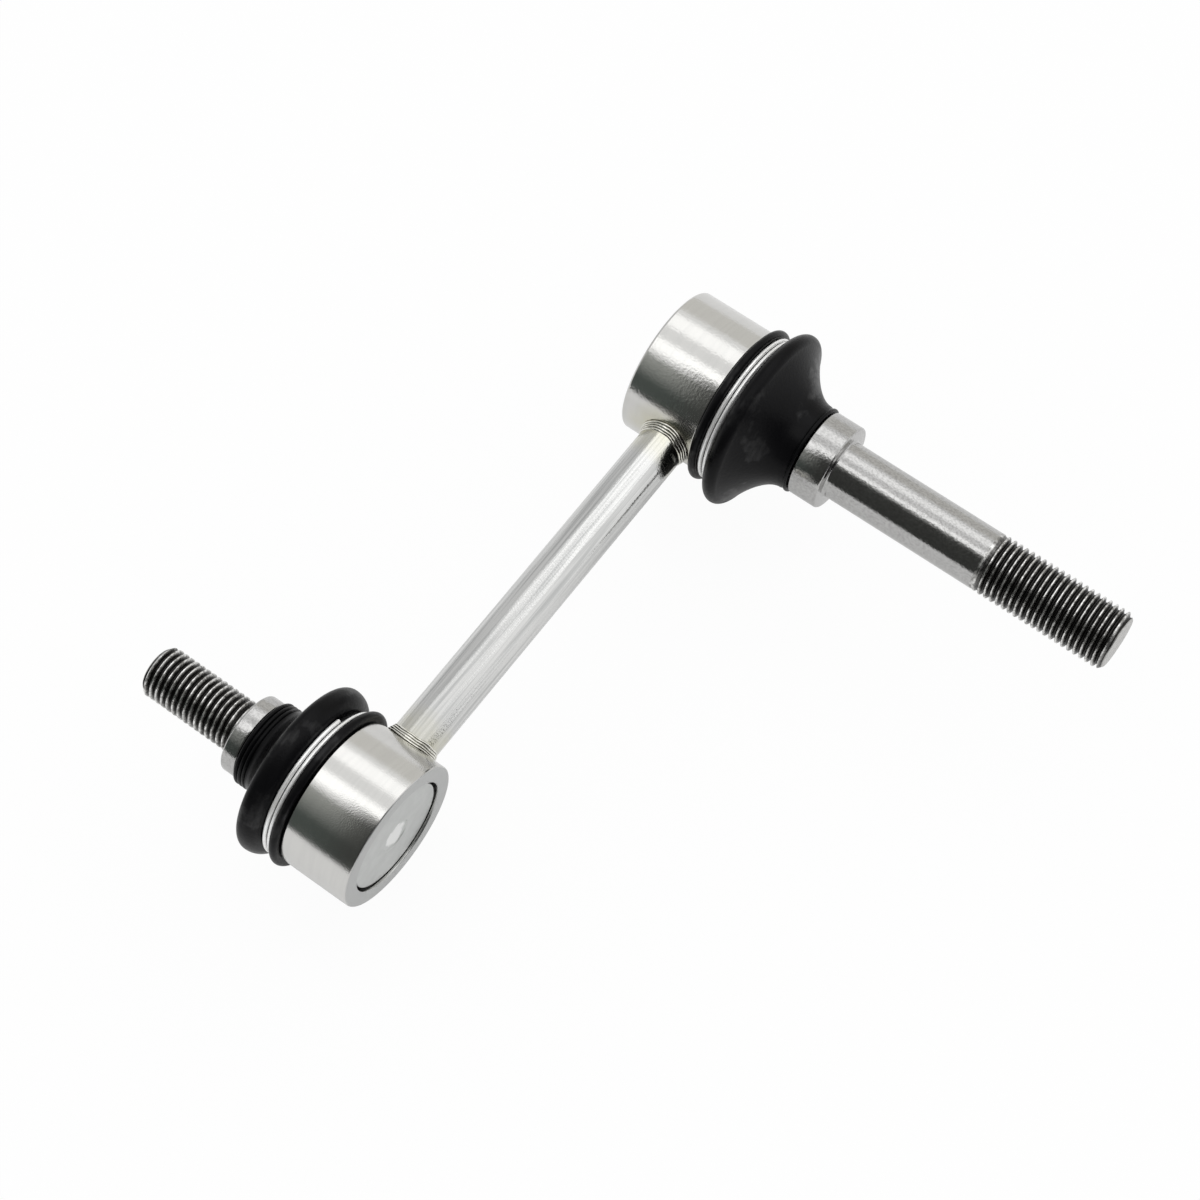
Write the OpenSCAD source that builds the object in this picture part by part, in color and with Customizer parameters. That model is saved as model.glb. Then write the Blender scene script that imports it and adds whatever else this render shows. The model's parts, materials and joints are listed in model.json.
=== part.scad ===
// Stabilizer link: a straight rod with a ball joint welded on each end.
// The origin is on the short stud's axis, at the seating face of its collar.
// +X runs along the rod to the long stud, +Y out along the short stud, +Z is up.

/* [Link] */
// Distance between the two stud axes, along the rod
link_len = 125; // [90:1:320]
// Diameter of the rod
rod_d = 10.8; // [8:0.1:13]
// Length of each weld ring, measured from the housing's side
weld_len = 2.1; // [1.6:0.1:4]
// How far the weld rings stand proud of the rod
weld_h = 0.9; // [0.6:0.1:1.6]
// Number of ripples on a weld ring
weld_ripples = 4; // [2:1:5]

/* [Ball joints] */
// Diameter of the balls
ball_d = 19; // [16:0.1:21]
// How far the ball centres lie from the rod's axis, on the stud side
ball_shift = 1.5; // [0:0.1:3]
// Flat on the back of each ball, as the height it takes off
ball_flat = 0.4; // [0.1:0.1:1]
// Greatest tilt of a stud about either axis, in degrees
tilt_max = 18; // [8:1:20]
// Diameter of the stud's neck behind the ball
neck_d = 11; // [9:0.1:12]
// Wall of the plastic seat at the ball's equator
seat_wall = 2.7; // [1.5:0.1:3.5]
// Floor of the long end's plastic seat behind the ball
long_floor = 2; // [0.5:0.1:3]
// Floor of the short end's plastic seat behind the ball
short_floor = 0.5; // [0.5:0.1:3]
// How far the seat reaches past the ball centre, on the stud side
seat_reach = 5.5; // [4:0.1:6]
// Number of slits that let the seat's mouth spring open
seat_slits = 4; // [3:1:8]
// Width of a slit
slit_w = 1.2; // [0.6:0.1:2]

/* [Housings] */
// Outside diameter of the housings
housing_d = 34.5; // [33.5:0.1:42]
// Rod axis to the shoulder that the boot sits against
shoulder_a = 6.6; // [6:0.1:10]
// Depth of that shoulder
shoulder_h = 2.35; // [1.5:0.05:2.8]
// Nose left beyond the clip's groove
nose_lip = 0.7; // [0.4:0.1:2]
// Rounding of the rim rolled over the cap
rim_round = 0.6; // [0.4:0.1:1.8]
// Thickness of the rolled rim
rim_t = 0.7; // [0.4:0.1:1.2]
// How far the rolled rim laps over the cap
rim_lap = 0.9; // [0.4:0.1:1.5]
// Bevel on the housings' sharp edges
edge_bevel = 0.35; // [0.1:0.05:0.6]
// Thickness of the caps
cap_t = 1.2; // [0.8:0.1:2]
// Width of the ledge that a cap sits on
cap_ledge = 2.1; // [1:0.1:2.3]
// Diameter of the shallow dimple in a cap
dimple_d = 8; // [3:0.1:12]
// Depth of that dimple
dimple_h = 0.25; // [0.1:0.05:0.5]

/* [Boots] */
// Wall of the boots
boot_wall = 1.5; // [1:0.1:1.7]
// Wall of a boot where the clip clamps it
clamp_wall = 1.5; // [1:0.1:2.2]
// Width of the bead between shoulder and clip
bead_w = 2; // [1.4:0.1:3]
// How far the bead stands out above the clip's groove
bead_h = 2.3; // [1.4:0.1:2.6]
// Rounding of the bulges' crests
crest_round = 1.9; // [1.8:0.1:2.6]
// Clip's groove to the crest of the long end's bulge, along the stud
long_crest_a = 2.8; // [2.4:0.1:4]
// Clip's groove to the crest of the short end's bulge, along the stud
short_crest_a = 3.8; // [2.4:0.1:4.4]
// How far the long end's bulge stands out above the clip's groove
long_bulge_h = 4.8; // [3.2:0.1:5.4]
// How far the short end's bulge stands out above the clip's groove
short_bulge_h = 3.4; // [3:0.1:5]
// Rod axis to the neck end of the long end's boot
long_boot_h = 27.4; // [26:0.1:34]
// Rod axis to the neck end of the short end's boot
short_boot_h = 25.3; // [24:0.1:32]
// Diameter of the long end's boot neck
long_neck_d = 20.8; // [19.5:0.1:23]
// Diameter of the short end's boot neck
short_neck_d = 19.7; // [19.5:0.1:23]
// Plain length of the long end's boot neck, before its lip
long_plain = 0.8; // [0.6:0.1:3]
// Plain length of the short end's boot neck, before its ribs
short_plain = 0.1; // [0:0.1:2]
// Number of ribs round the long end's boot neck, where one is a lip
long_ribs = 1; // [1:1:4]
// Number of ribs round the short end's boot neck
short_ribs = 3; // [2:1:4]
// Width of a rib on a boot's neck
rib_w = 1; // [0.8:0.1:1.4]
// How far the ribs stand out of a boot's neck
rib_h = 0.12; // [0:0.02:0.3]
// Width of the stiffening rings in the boots' necks
ring_w = 1.1; // [0.8:0.1:1.3]
// Thickness of the stiffening rings
ring_t = 0.9; // [0.5:0.1:1]
// End of a boot's neck to its stiffening ring
ring_inset = 0.4; // [0.3:0.1:0.6]
// How deep a stiffening ring lies in the neck's bore
ring_depth = 0.1; // [0.05:0.05:0.3]

/* [Clips] */
// Diameter of the clips' spring wire
wire_d = 1; // [0.8:0.05:1.4]
// Gap between a clip's two turns
wire_gap = 0.2; // [0.05:0.05:0.3]
// Where round the housing the long end's wire finishes, in degrees
long_clip_end = 220; // [0:5:360]
// Where round the housing the short end's wire finishes, in degrees
short_clip_end = 300; // [0:5:360]

/* [Studs] */
// Diameter of the seats on the studs that the boots' necks grip
boot_seat_d = 15.6; // [14:0.1:16.4]
// Diameter of the long stud's collar
long_collar_d = 20.2; // [18:0.1:26]
// Length of the long stud's collar
long_collar_len = 7.1; // [3:0.1:12]
// Diameter of the long stud's shank
long_shank_d = 13.7; // [11:0.1:13.9]
// Length of the long stud's shank
long_shank_len = 38; // [5:0.5:60]
// Diameter of the long stud's thread
long_thread_d = 14; // [14:0.5:16]
// Length of the long stud's thread
long_thread_len = 33; // [15:0.5:45]
// Length over which the long stud's shank grows to its thread
thread_run = 1.2; // [0.8:0.1:3]
// Diameter of the short stud's collar
short_collar_d = 18.4; // [17:0.1:24]
// Length of the short stud's collar
short_collar_len = 3.8; // [3:0.1:12]
// Diameter of the short stud's thread
short_thread_d = 12; // [10:0.5:14]
// Length of the short stud's thread
short_thread_len = 24.6; // [12:0.2:45]
// Chamfer on the studs' tips
tip_chamfer = 1.1; // [0.6:0.1:2]
// Chamfer on the collars' edges
collar_chamfer = 0.5; // [0.2:0.1:1]
// Fillet between a collar and what stands out of it
root_fillet = 0.6; // [0.3:0.1:1]

/* [Clearances] */
// Radial play of a ball in its seat
ball_play = 0.05; // [0.02:0.01:0.1]
// Play between a boot's neck and its stud
neck_play = 0.05; // [0.02:0.01:0.1]
// Gap between a boot and the rigid pieces that hold it
boot_gap = 0.2; // [0.1:0.05:0.4]
// Gap left between the neck and the mouth at full tilt
mouth_gap = 0.4; // [0.2:0.1:0.8]

/* [Hidden] */
$fn = 96;

// How far a cutting shape reaches past what it cuts
cut = 1;
// Half the arc that a rib or a ripple shows, in degrees
ripple_arc = 80;
// How far the crest of a bulge rounds over into its flank, in degrees
crest_turn = 70;
// Shares of a bulge's rise and of its flank over which each end keeps its direction
rise_hold = [0.55, 0.6];
flank_hold = [0.12, 0.48];

zinc = [0.78, 0.79, 0.78];
steel = [0.62, 0.62, 0.60];
rubber = [0.08, 0.08, 0.09];
resin = [0.90, 0.89, 0.84];

// Heights along a stud, measured from the rod's axis
ball_r = ball_d / 2;
ball_back = ball_shift - ball_r;
seat_top = ball_shift + seat_reach;
bead_start = shoulder_a + boot_gap;
bead_end = bead_start + bead_w;
clip_pitch = wire_d + wire_gap;
groove_end = bead_end + 2 * clip_pitch;
nose_end = groove_end + nose_lip;

// Radii
rod_r = rod_d / 2;
neck_r = neck_d / 2;
housing_r = housing_d / 2;
bore_r = ball_r + seat_wall;
cap_r = bore_r + cap_ledge;
nose_r = housing_r - shoulder_h;
boot_in_r = nose_r + boot_gap;
groove_r = boot_in_r + clamp_wall;
boot_seat_r = boot_seat_d / 2;
boot_neck_in_r = boot_seat_r + neck_play;
ring_out_r = boot_neck_in_r + ring_depth + ring_t;
ring_room_r = ring_out_r + neck_play;

// Two tilts of tilt_max about square axes add up to this one
corner_tilt = acos(cos(tilt_max) * cos(tilt_max));
// Mouth radius that clears the tilted neck, at height h above the ball centre
function mouth_r(h) = (neck_r + h * sin(corner_tilt)) / cos(corner_tilt) + mouth_gap;
// The neck stays slim up to here, so that the nose's edge clears it at full tilt
neck_end = ball_shift + (nose_end - ball_shift + neck_r * sin(corner_tilt)) / cos(corner_tilt);

// Where each stud's collar starts, and the seating face it ends in
long_collar_a = long_boot_h + boot_gap;
long_face_a = long_collar_a + long_collar_len;
short_collar_a = short_boot_h + boot_gap;
short_face_a = short_collar_a + short_collar_len;

// Points on an arc from one angle to another
function arc(centre, r, from, to, n = 8) =
    [for (i = [0 : n]) let (t = from + (to - from) * i / n) centre + r * [cos(t), sin(t)]];

// A cubic curve through its first and last control points
function curve_at(p, t) =
    pow(1 - t, 3) * p[0] + 3 * pow(1 - t, 2) * t * p[1] + 3 * (1 - t) * t * t * p[2] + t * t * t * p[3];
function curve_dir(p, t) =
    let (d = pow(1 - t, 2) * (p[1] - p[0]) + 2 * (1 - t) * t * (p[2] - p[1]) + t * t * (p[3] - p[2]))
    d / norm(d);
function curve(p, n = 14) = [for (i = [0 : n]) curve_at(p, i / n)];
// The same curve moved to its left, by a wall that grows from w0 to w1
function curve_inside(p, w0, w1, n = 14) =
    [for (i = [0 : n]) let (t = i / n, d = curve_dir(p, t))
        curve_at(p, t) + (w0 + (w1 - w0) * t * t) * [-d.y, d.x]];
function reversed(list) = [for (i = [len(list) - 1 : -1 : 0]) list[i]];

// The two ends: Z of what is placed here becomes the stud's direction
module at_long_end() translate([link_len, -short_face_a, 0]) rotate([90, 0, 0]) children();
module at_short_end() translate([0, -short_face_a, 0]) rotate([-90, 0, 0]) children();

// Turned cup: rolled rim, ledge for the cap, bore for the seat, flared mouth and a nose for the boot
module housing(floor_t) {
    seat_bottom = ball_back - floor_t;
    cap_back = seat_bottom - cap_t;
    housing_back = cap_back - rim_t;
    rim_r = cap_r - rim_lap;
    edge = min(edge_bevel, rim_t / 2);
    color(zinc)
    rotate_extrude()
    polygon(concat(
        [[rim_r, cap_back], [rim_r, housing_back + edge], [rim_r + edge, housing_back]],
        arc([housing_r - rim_round, housing_back + rim_round], rim_round, -90, 0),
        [[housing_r, shoulder_a - edge], [housing_r - edge, shoulder_a], [nose_r, shoulder_a]],
        [[nose_r, nose_end - edge], [nose_r - edge, nose_end]],
        [[mouth_r(nose_end - ball_shift), nose_end], [mouth_r(seat_reach), seat_top]],
        [[bore_r, seat_top], [bore_r, seat_bottom], [cap_r, seat_bottom], [cap_r, cap_back]]
    ));
}

// Pressed disc with a shallow dimple, held on its ledge by the rolled rim
module cap(floor_t) {
    cap_back = ball_back - floor_t - cap_t;
    color(zinc)
    difference() {
        translate([0, 0, cap_back]) cylinder(h = cap_t, r = cap_r);
        translate([0, 0, cap_back - cut]) cylinder(h = cut + dimple_h, d = dimple_d);
    }
}

// Plastic cup round the ball, open at the mouth and slit so that the ball snaps in
module seat(floor_t) {
    seat_bottom = ball_back - floor_t;
    color(resin)
    difference() {
        translate([0, 0, seat_bottom]) cylinder(h = seat_top - seat_bottom, r = bore_r);
        translate([0, 0, ball_shift]) sphere(r = ball_r + ball_play);
        translate([0, 0, ball_shift])
            cylinder(h = seat_reach + cut, r1 = mouth_r(0), r2 = mouth_r(seat_reach + cut));
        for (i = [0 : seat_slits - 1])
            rotate(360 * i / seat_slits)
            translate([0, -slit_w / 2, ball_shift])
            cube([bore_r + cut, slit_w, seat_reach + cut]);
    }
}

// Forged ball stud: ball, slim neck, boot seat, collar, shank and thread blank
module stud(collar_a, collar_d, collar_len, shank_d, shank_len, thread_d, thread_len) {
    face = collar_a + collar_len;
    thread_a = face + shank_len;
    tip = thread_a + thread_len;
    shank_r = shank_d / 2;
    thread_r = thread_d / 2;
    collar_r = collar_d / 2;
    taper_end = neck_end + boot_seat_r - neck_r;
    color(steel)
    union() {
        rotate_extrude()
        polygon(concat(
            [[0, ball_shift], [neck_r, ball_shift], [neck_r, neck_end], [boot_seat_r, taper_end]],
            [[boot_seat_r, collar_a], [collar_r - collar_chamfer, collar_a]],
            [[collar_r, collar_a + collar_chamfer], [collar_r, face - collar_chamfer]],
            [[collar_r - collar_chamfer, face]],
            arc([shank_r + root_fillet, face + root_fillet], root_fillet, 270, 180),
            thread_r > shank_r ? [[shank_r, thread_a], [thread_r, thread_a + thread_run]] : [],
            [[thread_r, tip - tip_chamfer], [thread_r - tip_chamfer, tip], [0, tip]]
        ));
        difference() {
            translate([0, 0, ball_shift]) sphere(r = ball_r);
            translate([-ball_r, -ball_r, ball_shift - ball_r - ball_d + ball_flat]) cube(ball_d);
        }
    }
}

// Rubber boot: clamped bead, groove for the clip, rounded bulge, hollow flank and a ribbed neck
module boot(height, outer_d, plain, ribs, crest_a, bulge_h) {
    bead_r = groove_r + bead_h;
    crest_r = groove_r + bulge_h;
    crest = groove_end + crest_a;
    outer_r = outer_d / 2;
    neck_wall = outer_r - boot_neck_in_r;
    rib_start = height - ribs * rib_w;
    neck_start = rib_start - plain;
    rib_centre_r = outer_r + rib_h - rib_w / 2;
    ring_start = height - ring_inset - ring_w - neck_play;
    ring_end = height - ring_inset + neck_play;
    crest_centre = [crest_r - crest_round, crest];
    flank_start = crest_centre + crest_round * [cos(crest_turn), sin(crest_turn)];
    flank = neck_start - flank_start.y;
    rise_curve = [[groove_r, groove_end], [groove_r + rise_hold[0] * bulge_h, groove_end],
                  [crest_r, crest - rise_hold[1] * crest_a], [crest_r, crest]];
    flank_curve = [flank_start, flank_start + flank_hold[0] * flank * [-sin(crest_turn), cos(crest_turn)],
                   [outer_r, neck_start - flank_hold[1] * flank], [outer_r, neck_start]];
    color(rubber)
    rotate_extrude()
    polygon(concat(
        [[boot_in_r, bead_start]],
        arc([bead_r - bead_w / 2, bead_start + bead_w / 2], bead_w / 2, -90, 90),
        [[groove_r, bead_end]],
        curve(rise_curve),
        arc(crest_centre, crest_round, 0, crest_turn),
        curve(flank_curve),
        [for (i = [0 : ribs - 1])
            each arc([rib_centre_r, rib_start + (i + 0.5) * rib_w], rib_w / 2, -ripple_arc, ripple_arc)],
        [[boot_neck_in_r, height], [boot_neck_in_r, ring_end], [ring_room_r, ring_end]],
        [[ring_room_r, ring_start], [boot_neck_in_r, ring_start]],
        reversed(curve_inside(flank_curve, boot_wall, neck_wall)),
        reversed(arc(crest_centre, crest_round - boot_wall, 0, crest_turn)),
        reversed(curve_inside(rise_curve, boot_wall, boot_wall)),
        [[boot_in_r, groove_end + boot_wall]]
    ));
}

// Stiffening ring in the boot's neck
module neck_ring(height) {
    color(steel)
    translate([0, 0, height - ring_inset - ring_w])
    difference() {
        cylinder(h = ring_w, r = ring_out_r);
        translate([0, 0, -cut]) cylinder(h = ring_w + 2 * cut, r = ring_out_r - ring_t);
    }
}

// Spring wire of two turns: the first lies beside the bead, and the wire then crosses to the second
module clip(end_angle) {
    sides = 8;
    steps = 90;
    sweep = 640;
    cross_from = 310;
    cross_to = 360;
    turn_r = groove_r + boot_gap + wire_d / 2;
    first_a = bead_end + clip_pitch / 2;
    function crossing(t) = let (u = max(0, min(1, (t - cross_from) / (cross_to - cross_from))))
        u * u * (3 - 2 * u);
    function ring(i) = let (t = sweep * i / steps, around = end_angle - sweep + t)
        [for (j = [0 : sides - 1]) let (
            out = turn_r + wire_d / 2 * cos(360 * j / sides),
            up = first_a + clip_pitch * crossing(t) + wire_d / 2 * sin(360 * j / sides))
            [out * cos(around), out * sin(around), up]];
    points = [for (i = [0 : steps]) each ring(i)];
    walls = [for (i = [0 : steps - 1], j = [0 : sides - 1]) let (k = (j + 1) % sides)
        [i * sides + j, i * sides + k, (i + 1) * sides + k, (i + 1) * sides + j]];
    ends = [[for (j = [sides - 1 : -1 : 0]) j], [for (j = [0 : sides - 1]) steps * sides + j]];
    color(steel)
    polyhedron(points, concat(walls, ends), convexity = 8);
}

// Rippled weld ring on the +X side, cut to the rod and to the housing's curve
module weld() {
    ripple_w = weld_len / weld_ripples;
    color(zinc)
    difference() {
        rotate([0, 90, 0])
        rotate_extrude()
        polygon(concat(
            [[rod_r, housing_r - weld_len], [rod_r + weld_h, housing_r - weld_len]],
            [for (i = [0 : weld_ripples - 1])
                each arc([rod_r + weld_h - ripple_w / 2 * (i + 1) / weld_ripples,
                    housing_r + (i + 0.5) * ripple_w], ripple_w / 2, -ripple_arc, ripple_arc)],
            [[rod_r, housing_r + weld_len]]
        ));
        cylinder(h = housing_d, r = housing_r, center = true);
    }
}

// Round bar between the two housings, its ends cut to their curve
module rod() {
    color(zinc)
    translate([0, -short_face_a, 0])
    difference() {
        rotate([0, 90, 0]) cylinder(h = link_len, r = rod_r);
        rotate([90, 0, 0]) cylinder(h = housing_d, r = housing_r, center = true);
        translate([link_len, 0, 0]) rotate([90, 0, 0]) cylinder(h = housing_d, r = housing_r, center = true);
    }
}

module link_rod() rod();

module long_end_housing() at_long_end() housing(long_floor);
module long_end_weld() at_long_end() mirror([1, 0, 0]) weld();
module long_end_cap() at_long_end() cap(long_floor);
module long_end_seat() at_long_end() seat(long_floor);
module long_end_stud() at_long_end() stud(long_collar_a, long_collar_d, long_collar_len,
    long_shank_d, long_shank_len, long_thread_d, long_thread_len);
module long_end_boot() at_long_end() boot(long_boot_h, long_neck_d, long_plain, long_ribs,
    long_crest_a, long_bulge_h);
module long_end_clip() at_long_end() clip(long_clip_end);
module long_end_neck_ring() at_long_end() neck_ring(long_boot_h);

module short_end_housing() at_short_end() housing(short_floor);
module short_end_weld() at_short_end() weld();
module short_end_cap() at_short_end() cap(short_floor);
module short_end_seat() at_short_end() seat(short_floor);
module short_end_stud() at_short_end() stud(short_collar_a, short_collar_d, short_collar_len,
    short_thread_d, 0, short_thread_d, short_thread_len);
module short_end_boot() at_short_end() boot(short_boot_h, short_neck_d, short_plain, short_ribs,
    short_crest_a, short_bulge_h);
module short_end_clip() at_short_end() clip(short_clip_end);
module short_end_neck_ring() at_short_end() neck_ring(short_boot_h);

link_rod();
long_end_housing();
long_end_weld();
long_end_cap();
long_end_seat();
long_end_stud();
long_end_boot();
long_end_clip();
long_end_neck_ring();
short_end_housing();
short_end_weld();
short_end_cap();
short_end_seat();
short_end_stud();
short_end_boot();
short_end_clip();
short_end_neck_ring();
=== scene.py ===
"""Looks of the stabilizer link: turned, welded and threaded steel with rubber boots, on a white floor.

The link's lengths are in millimetres, and become metres where a point is placed. The stage is in metres.
"""

import json
import math
from dataclasses import dataclass

import bmesh
import bpy
from mathutils import Matrix, Vector, noise


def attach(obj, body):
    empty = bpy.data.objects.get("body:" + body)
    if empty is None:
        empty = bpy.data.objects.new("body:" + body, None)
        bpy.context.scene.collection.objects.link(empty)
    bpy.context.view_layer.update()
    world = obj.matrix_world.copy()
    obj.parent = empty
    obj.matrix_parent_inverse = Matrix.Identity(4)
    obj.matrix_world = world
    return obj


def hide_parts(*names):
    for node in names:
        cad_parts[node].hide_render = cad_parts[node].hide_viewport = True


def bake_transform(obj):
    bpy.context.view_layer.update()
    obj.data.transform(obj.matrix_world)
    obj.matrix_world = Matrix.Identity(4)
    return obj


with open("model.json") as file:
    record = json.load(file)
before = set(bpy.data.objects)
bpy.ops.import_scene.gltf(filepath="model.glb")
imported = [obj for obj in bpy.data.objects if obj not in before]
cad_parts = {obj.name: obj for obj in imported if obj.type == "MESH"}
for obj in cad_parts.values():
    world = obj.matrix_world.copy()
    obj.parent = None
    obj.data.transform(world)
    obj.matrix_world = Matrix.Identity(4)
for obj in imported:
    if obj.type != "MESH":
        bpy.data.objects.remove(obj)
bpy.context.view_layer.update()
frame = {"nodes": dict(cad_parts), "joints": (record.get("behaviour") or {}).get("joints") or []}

MM = 0.001

# Rod and welds. WELD_FALL is the share of its height that a weld loses towards the rod.
ROD_R = 5.4
WELD_LEN = 2.1
WELD_H = 0.9
WELD_RIPPLES = 4
WELD_FALL = 0.8
WELD_SINK = 0.3
WELD_OVERLAP = 0.2
WELD_DRIFT = 0.2
WELD_UNEVEN = 0.05

# Ball joints, with heights along the stud from the rod's axis
BALL_R = 9.5
BALL_SHIFT = 1.5
BALL_FLAT = 0.4
NECK_R = 5.5
NECK_RUN = 4.0
NECK_END = 15.6
NECK_FILLET = 1.0
BOOT_SEAT_R = 7.8
BOOT_SEAT_ROUND = 0.5

# Housings and caps
HOUSING_R = 17.25
SHOULDER = 6.6
SHOULDER_ROUND = 0.4
NOSE_R = 14.9
NOSE_END = 11.9
NOSE_ROUND = 0.4
MOUTH_R = 11.4
MOUTH_ROUND = 0.3
MOUTH_BASE_R = 9.3
BORE_R = 12.2
SEAT_TOP = 7.0
CAP_R = 14.3
CAP_T = 1.2
CAP_STEP_IN = 0.6
CAP_STEP_OUT = 0.5
CAP_STEP_H = 0.85
CAP_STEP_ROUND = 0.2
RIM_T = 0.7
RIM_R = 13.4
RIM_ROUND = 0.6
RIM_LIP_ROUND = 0.3
DIMPLE_R = 4.0
DIMPLE_H = 0.25
DIMPLE_SLOPE = 0.3

# Boots and clips. A boot's wall grows towards its neck by the power WALL_GROWTH, its two halves meet at
# SEAM_SHARE of the way from groove to neck, at least SEAM_MIN points down the flank, and a clip crosses to
# its second turn between two angles.
BOOT_WALL = 1.5
BOOT_IN_R = 15.1
BOOT_NECK_IN_R = 7.85
GROOVE_R = 16.6
GROOVE_END = 11.2
BEAD_START = 6.8
BEAD_END = 8.8
BEAD_H = 2.3
CREST_ROUND = 1.9
CREST_TURN = 70
RISE_HOLD = (0.55, 0.6)
FLANK_HOLD = (0.12, 0.48)
RIB_W = 1.0
RIB_H = 0.12
RING_ROOM_R = 8.9
RING_ROOM = (1.55, 0.35)
WALL_GROWTH = 4
SEAM_SHARE = 0.42
SEAM_MIN = 4
BEND_START = 11.6
WIRE_R = 0.5
WIRE_PITCH = 1.2
CLIP_GAP = 0.2
CLIP_SWEEP = 640
CLIP_CROSSING = (310, 360)

# Studs. A thread's depth, run-out, half crest and flank are shares of its pitch, and ROOT_EASE is how
# much of its fall is rounded.
COLLAR_ROUND = 0.5
ROOT_FILLET = 0.6
SHANK_MIN = 1.2
TIP_CHAMFER = 1.1
PITCH = 1.5
THREAD_DEPTH = 0.61
THREAD_RUN_OUT = 1.6
CREST_HALF = 0.09
FLANK_WIDTH = 0.30
ROOT_EASE = 0.2

# The photograph's view, from a camera fitted to both joints
VIEW_AZIMUTH = -53.615
VIEW_ELEVATION = 63.755
VIEW_DISTANCE = 630.2
VIEW_RIGHT = 12.65
VIEW_UP = -1.94
VIEW_LENS = 88.59
SENSOR = 36.0

X_AXIS = Vector((1, 0, 0))
Z_AXIS = Vector((0, 0, 1))
JOINTS = {j["name"]: j for j in frame["joints"]}


@dataclass
class End:
    """One ball joint: the sizes that differ between the ends, its rod crossing and its stud's direction.

    boot_h, bend_end and what ends in _a are heights along the stud from the rod's axis. A boot's crest lies
    crest_rise beyond its groove and stands bulge_h out from it. The rod leaves towards rod_side along X.
    """

    name: str
    rod_side: int
    floor: float
    boot_h: float
    crest_rise: float
    bulge_h: float
    neck_r: float
    neck_plain: float
    ribs: int
    bend_end: float
    clip_end: float
    collar_a: float
    collar_r: float
    collar_len: float
    shank_r: float
    thread_a: float
    thread_r: float
    tip_a: float
    peel: tuple

    def __post_init__(self):
        self.axis = Vector(JOINTS[self.node("spin")]["axis"]).normalized()
        self.side = self.axis.cross(X_AXIS)
        ball = Vector(JOINTS[self.node("rock")]["pos_m"])
        self.origin = ball - self.axis * BALL_SHIFT * MM
        self.rocker = f"{self.name}_rocker"
        self.swinger = f"{self.name}_swinger"
        self.stud = f"{self.name}_stud"
        self.seat_bottom = BALL_SHIFT - BALL_R - self.floor
        self.cap_back = self.seat_bottom - CAP_T
        self.housing_back = self.cap_back - RIM_T

    def node(self, part):
        """The name that the CAD model gives to a part or joint of this end."""
        return f"{self.name}_end_{part}"

    def place(self, r, angle, a):
        """A point at radius r and height a, turned by angle about the stud's axis."""
        out = X_AXIS * math.cos(angle) + self.side * math.sin(angle)
        return self.origin + (out * r + self.axis * a) * MM


LONG = End(
    "long", -1, floor=2.0,
    boot_h=27.4, crest_rise=2.8, bulge_h=4.8, neck_r=10.4, neck_plain=0.8, ribs=1, bend_end=22.4,
    clip_end=220, collar_a=27.6, collar_r=10.1, collar_len=7.1,
    shank_r=6.85, thread_a=72.7, thread_r=7.0, tip_a=105.7, peel=(1700.0, 0.16),
)
SHORT = End(
    "short", 1, floor=0.5,
    boot_h=25.3, crest_rise=3.8, bulge_h=3.4, neck_r=9.85, neck_plain=0.1, ribs=3, bend_end=19.4,
    clip_end=300, collar_a=25.5, collar_r=9.2, collar_len=3.8,
    shank_r=6.0, thread_a=29.3, thread_r=6.0, tip_a=53.9, peel=(3200.0, 0.09),
)
ENDS = (LONG, SHORT)
WELD_POINTS = [end.origin + X_AXIS * end.rod_side * HOUSING_R * MM for end in ENDS]


# Outlines

def rounded(corners, steps=6):
    """An outline with its corners filleted: a corner is (r, a) or (r, a, fillet radius)."""
    points = []
    for i, corner in enumerate(corners):
        here = Vector(corner[:2])
        fillet = corner[2] if len(corner) > 2 else 0
        if not fillet:
            points.append(here)
            continue
        back = (Vector(corners[i - 1][:2]) - here).normalized()
        ahead = (Vector(corners[(i + 1) % len(corners)][:2]) - here).normalized()
        half = back.angle(ahead) / 2
        centre = here + (back + ahead).normalized() * fillet / math.sin(half)
        first = here + back * fillet / math.tan(half) - centre
        last = here + ahead * fillet / math.tan(half) - centre
        turn = first.angle_signed(last)
        for k in range(steps + 1):
            points.append(centre + Matrix.Rotation(-turn * k / steps, 2) @ first)
    return points


def arc(centre, r, start, stop, steps=8):
    """Points on an arc, its angles in degrees."""
    turns = [math.radians(start + (stop - start) * k / steps) for k in range(steps + 1)]
    return [Vector((centre[0] + r * math.cos(t), centre[1] + r * math.sin(t))) for t in turns]


def curve(points, steps):
    """Points on a cubic curve, and its direction at each."""
    p = [Vector(q) for q in points]
    out = []
    for k in range(steps + 1):
        t = k / steps
        s = 1 - t
        at = p[0] * s**3 + p[1] * 3 * s * s * t + p[2] * 3 * s * t * t + p[3] * t**3
        ahead = (p[1] - p[0]) * s * s + (p[2] - p[1]) * 2 * s * t + (p[3] - p[2]) * t * t
        out.append((at, ahead.normalized()))
    return out


def inside(run, first_wall, last_wall):
    """The same run moved towards the axis by a wall that grows near its end."""
    count = len(run) - 1
    moved = []
    for k, (at, ahead) in enumerate(run):
        wall = first_wall + (last_wall - first_wall) * (k / count) ** WALL_GROWTH
        moved.append(at + wall * Vector((-ahead.y, ahead.x)))
    return moved


# Meshes

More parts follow.
